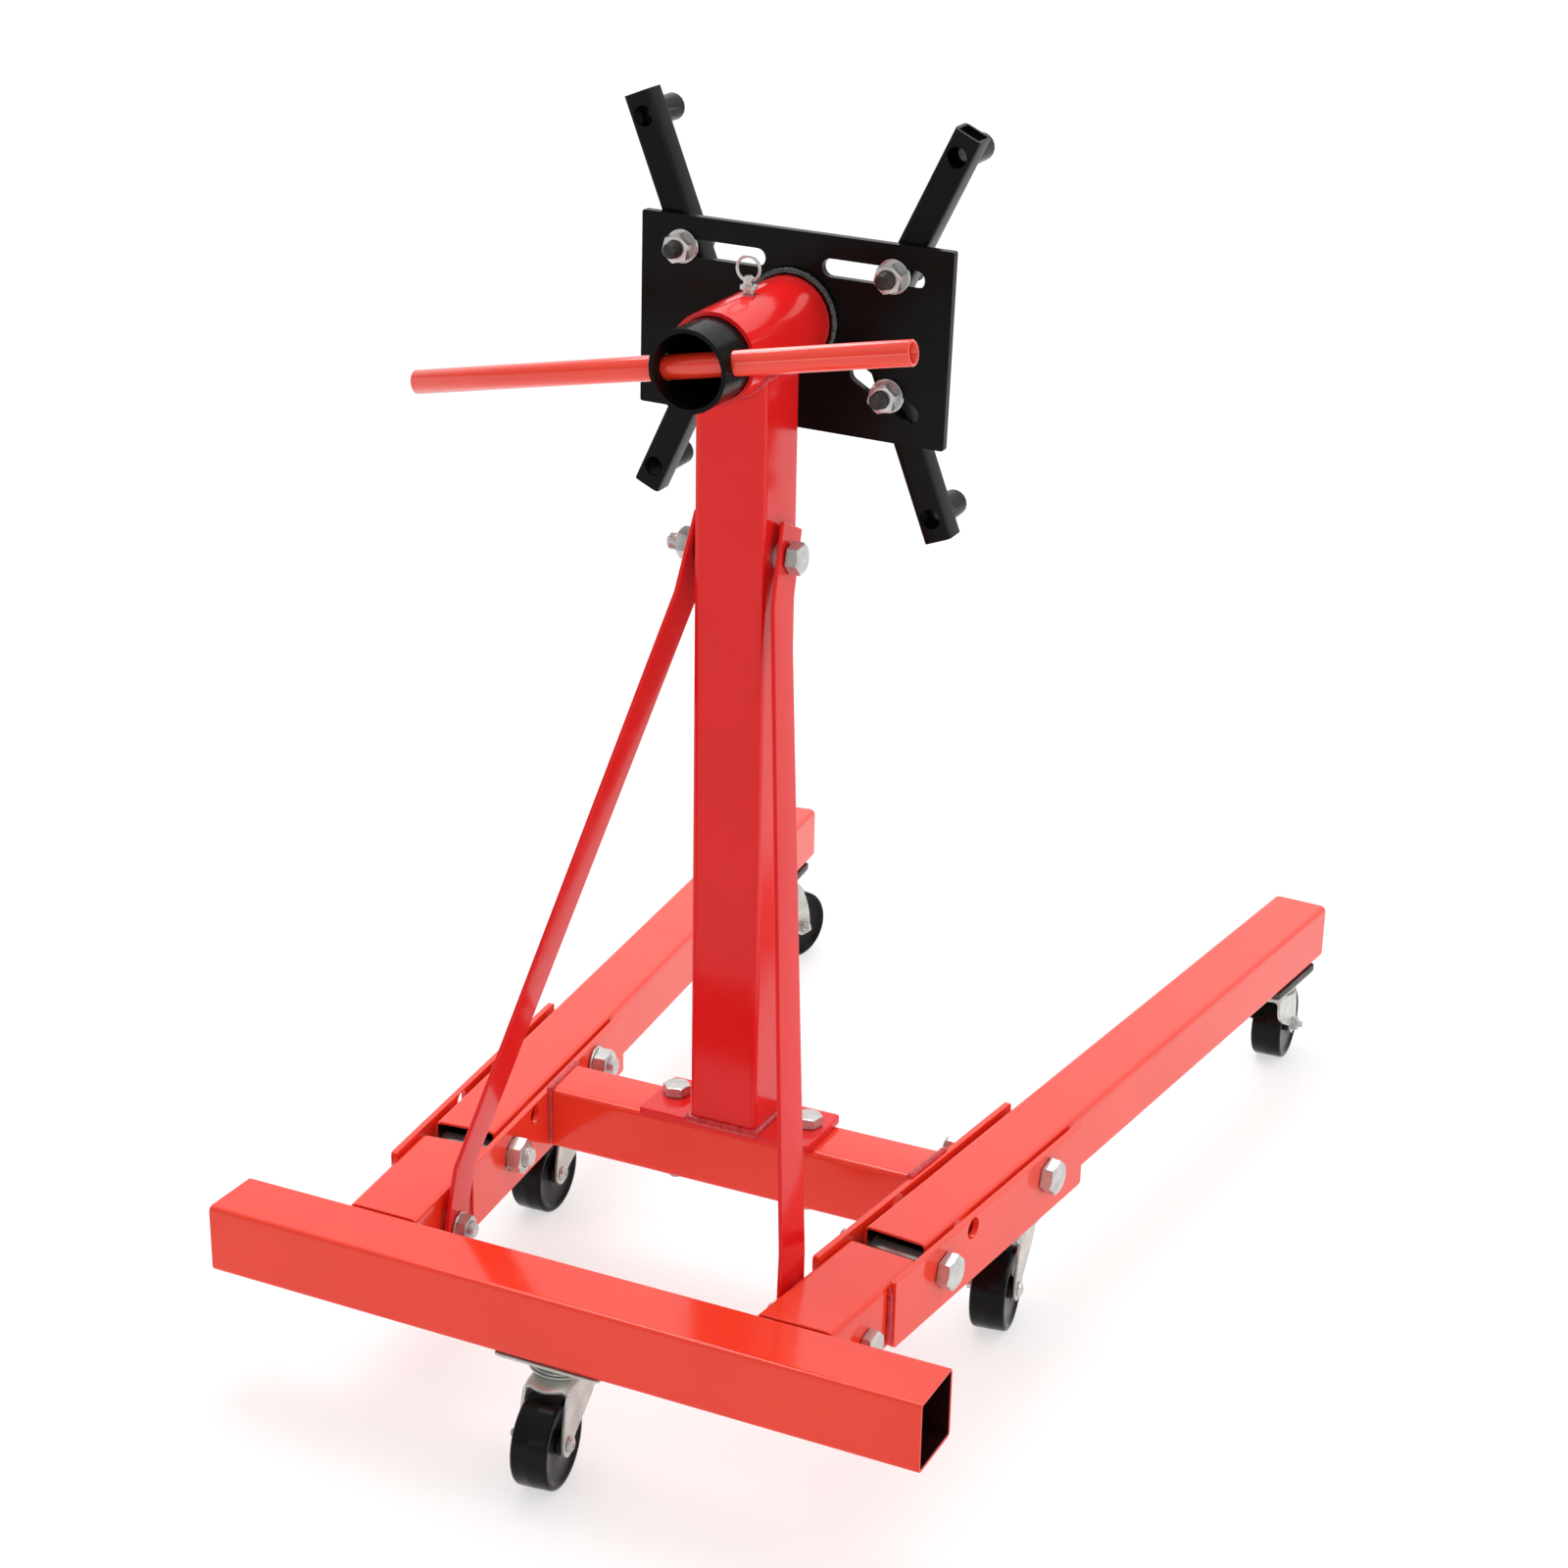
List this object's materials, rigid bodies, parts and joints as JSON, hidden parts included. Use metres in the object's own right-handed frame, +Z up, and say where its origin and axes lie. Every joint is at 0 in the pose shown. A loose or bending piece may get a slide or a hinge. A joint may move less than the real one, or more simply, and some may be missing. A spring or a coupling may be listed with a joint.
{
  "type": "engine stand",
  "caption": "Folding engine stand: a wheeled steel base with folding legs carries a braced post and a lockable turning head, whose slotted plate holds swinging arms that bolt to an engine.",
  "frame": {"origin": "on the floor, at the middle of the stand's overall length and width", "axes": "+Z up; +Y from the rear crossbar towards the engine, along the legs; +X to the right seen from behind the stand"},
  "size_m": [0.7164, 1.2269, 1.1326],
  "materials": {
    "red_enamel": "gloss red-orange enamel",
    "black_enamel": "semi-gloss black enamel",
    "zinc_plate": "bright zinc plating",
    "black_polymer": "smooth glossy black hard polymer"
  },
  "bodies": {
    "frame": {"rear_crossbar": "red_enamel", "crossmember": "red_enamel", "post_base_plate": "red_enamel", "post": "red_enamel", "head_sleeve": "red_enamel", "stub_left": "red_enamel", "side_plate_left_inner": "red_enamel", "side_plate_left_outer": "red_enamel", "brace_left": "red_enamel", "brace_stub_bolt_left": "zinc_plate", "post_base_bolt_left": "zinc_plate", "leg_pivot_bolt_left": "zinc_plate", "leg_lock_bolt_left": "zinc_plate", "leg_lock_nut_left": "zinc_plate", "stub_right": "red_enamel", "side_plate_right_inner": "red_enamel", "side_plate_right_outer": "red_enamel", "brace_right": "red_enamel", "brace_stub_bolt_right": "zinc_plate", "post_base_bolt_right": "zinc_plate", "leg_pivot_bolt_right": "zinc_plate", "leg_lock_bolt_right": "zinc_plate", "leg_lock_nut_right": "zinc_plate", "brace_post_bolt": "zinc_plate", "caster_plate_rear": "zinc_plate", "caster_plate_mid_left": "zinc_plate", "caster_plate_mid_right": "zinc_plate"},
    "leg_left": {"leg_left": "red_enamel", "caster_plate_far_left": "zinc_plate"},
    "leg_right": {"leg_right": "red_enamel", "caster_plate_far_right": "zinc_plate"},
    "caster_fork_rear": {"caster_fork_rear": "zinc_plate", "caster_axle_rear": "zinc_plate"},
    "caster_wheel_rear": {"caster_wheel_rear": "black_polymer"},
    "caster_fork_mid_left": {"caster_fork_mid_left": "zinc_plate", "caster_axle_mid_left": "zinc_plate"},
    "caster_wheel_mid_left": {"caster_wheel_mid_left": "black_polymer"},
    "caster_fork_mid_right": {"caster_fork_mid_right": "zinc_plate", "caster_axle_mid_right": "zinc_plate"},
    "caster_wheel_mid_right": {"caster_wheel_mid_right": "black_polymer"},
    "caster_fork_far_left": {"caster_fork_far_left": "zinc_plate", "caster_axle_far_left": "zinc_plate"},
    "caster_wheel_far_left": {"caster_wheel_far_left": "black_polymer"},
    "caster_fork_far_right": {"caster_fork_far_right": "zinc_plate", "caster_axle_far_right": "zinc_plate"},
    "caster_wheel_far_right": {"caster_wheel_far_right": "black_polymer"},
    "head": {"head_tube": "black_enamel", "head_plate": "black_enamel"},
    "arm_stud_upper_left": {"arm_stud_upper_left": "zinc_plate"},
    "arm_upper_left": {"arm_upper_left": "black_enamel"},
    "arm_stud_upper_right": {"arm_stud_upper_right": "zinc_plate"},
    "arm_upper_right": {"arm_upper_right": "black_enamel"},
    "arm_stud_lower_left": {"arm_stud_lower_left": "zinc_plate"},
    "arm_lower_left": {"arm_lower_left": "black_enamel"},
    "arm_stud_lower_right": {"arm_stud_lower_right": "zinc_plate"},
    "arm_lower_right": {"arm_lower_right": "black_enamel"},
    "handle_bar": {"handle_bar": "red_enamel"},
    "lock_pin": {"lock_pin": "zinc_plate"},
    "lock_pin_ring": {"lock_pin_ring": "zinc_plate"}
  },
  "joints": [
    {"name": "leg_left_fold", "type": "hinge", "parent": "frame", "child": "leg_left", "pos_m": [-0.22585, -0.31182, 0.1515], "axis": [0.9941, 0.1089, 0], "range_deg": [0, 82]},
    {"name": "leg_right_fold", "type": "hinge", "parent": "frame", "child": "leg_right", "pos_m": [0.22585, -0.31182, 0.1515], "axis": [0.9941, -0.1089, 0], "range_deg": [0, 82]},
    {"name": "caster_rear_swivel", "type": "hinge", "parent": "frame", "child": "caster_fork_rear", "pos_m": [0, -0.53072, 0.1095], "axis": [0, 0, 1], "continuous": true},
    {"name": "caster_rear_roll", "type": "hinge", "parent": "caster_fork_rear", "child": "caster_wheel_rear", "pos_m": [0.00463, -0.56843, 0.042], "axis": [0.9925, 0.1219, 0], "continuous": true},
    {"name": "caster_mid_left_swivel", "type": "hinge", "parent": "frame", "child": "caster_fork_mid_left", "pos_m": [-0.24849, -0.10506, 0.1095], "axis": [0, 0, 1], "continuous": true},
    {"name": "caster_mid_left_roll", "type": "hinge", "parent": "caster_fork_mid_left", "child": "caster_wheel_mid_left", "pos_m": [-0.24717, -0.14303, 0.042], "axis": [0.9994, 0.0349, 0], "continuous": true},
    {"name": "caster_mid_right_swivel", "type": "hinge", "parent": "frame", "child": "caster_fork_mid_right", "pos_m": [0.24849, -0.10506, 0.1095], "axis": [0, 0, 1], "continuous": true},
    {"name": "caster_mid_right_roll", "type": "hinge", "parent": "caster_fork_mid_right", "child": "caster_wheel_mid_right", "pos_m": [0.25378, -0.14269, 0.042], "axis": [0.9903, 0.1392, 0], "continuous": true},
    {"name": "caster_far_left_swivel", "type": "hinge", "parent": "leg_left", "child": "caster_fork_far_left", "pos_m": [-0.3186, 0.53511, 0.1095], "axis": [0, 0, 1], "continuous": true},
    {"name": "caster_far_left_roll", "type": "hinge", "parent": "caster_fork_far_left", "child": "caster_wheel_far_left", "pos_m": [-0.30561, 0.57082, 0.042], "axis": [-0.9397, 0.342, 0], "continuous": true},
    {"name": "caster_far_right_swivel", "type": "hinge", "parent": "leg_right", "child": "caster_fork_far_right", "pos_m": [0.3186, 0.53511, 0.1095], "axis": [0, 0, 1], "continuous": true},
    {"name": "caster_far_right_roll", "type": "hinge", "parent": "caster_fork_far_right", "child": "caster_wheel_far_right", "pos_m": [0.31794, 0.57311, 0.042], "axis": [-0.9998, -0.0175, 0], "continuous": true},
    {"name": "head_turn", "type": "hinge", "parent": "frame", "child": "head", "pos_m": [0, -0.19022, 0.9342], "axis": [0, 0.9982, 0.0593], "continuous": true},
    {"name": "arm_upper_left_slot_slide", "type": "slide", "parent": "head", "child": "arm_stud_upper_left", "axis": [-0.999, -0.0027, 0.0453], "range_m": [-0.0757, 0.0051]},
    {"name": "arm_upper_left_swing", "type": "hinge", "parent": "arm_stud_upper_left", "child": "arm_upper_left", "pos_m": [-0.10985, -0.10077, 0.99515], "axis": [0, 0.9982, 0.0593], "range_deg": [-60, 20]},
    {"name": "arm_upper_right_slot_slide", "type": "slide", "parent": "head", "child": "arm_stud_upper_right", "axis": [0.999, 0.0027, -0.0453], "range_m": [-0.0593, 0.0215]},
    {"name": "arm_upper_right_swing", "type": "hinge", "parent": "arm_stud_upper_right", "child": "arm_upper_right", "pos_m": [0.09805, -0.10021, 0.98573], "axis": [0, -0.9982, -0.0593], "range_deg": [-60, 20]},
    {"name": "arm_lower_left_slot_slide", "type": "slide", "parent": "head", "child": "arm_stud_lower_left", "axis": [-0.8913, 0.0269, -0.4527], "range_m": [-0.0293, 0.0293]},
    {"name": "arm_lower_left_swing", "type": "hinge", "parent": "arm_stud_lower_left", "child": "arm_lower_left", "pos_m": [-0.09541, -0.09446, 0.88882], "axis": [0, -0.9982, -0.0593], "range_deg": [-60, 20]},
    {"name": "arm_lower_right_slot_slide", "type": "slide", "parent": "head", "child": "arm_stud_lower_right", "axis": [0.8465, 0.0316, -0.5314], "range_m": [-0.0323, 0.0263]},
    {"name": "arm_lower_right_swing", "type": "hinge", "parent": "arm_stud_lower_right", "child": "arm_lower_right", "pos_m": [0.09293, -0.09386, 0.87881], "axis": [0, 0.9982, 0.0593], "range_deg": [-60, 20]},
    {"name": "handle_bar_slide", "type": "slide", "parent": "head", "child": "handle_bar", "axis": [0.988, -0.0092, 0.1544], "range_m": [-0.14, 0.33]},
    {"name": "lock_pin_slide", "type": "slide", "parent": "frame", "child": "lock_pin", "axis": [0, -0.0593, 0.9982], "range_m": [-0.0037, 0.03]},
    {"name": "lock_pin_ring_swing", "type": "hinge", "parent": "lock_pin", "child": "lock_pin_ring", "pos_m": [0, -0.19327, 0.98561], "axis": [1, 0, 0], "range_deg": [-80, 80]}
  ]
}
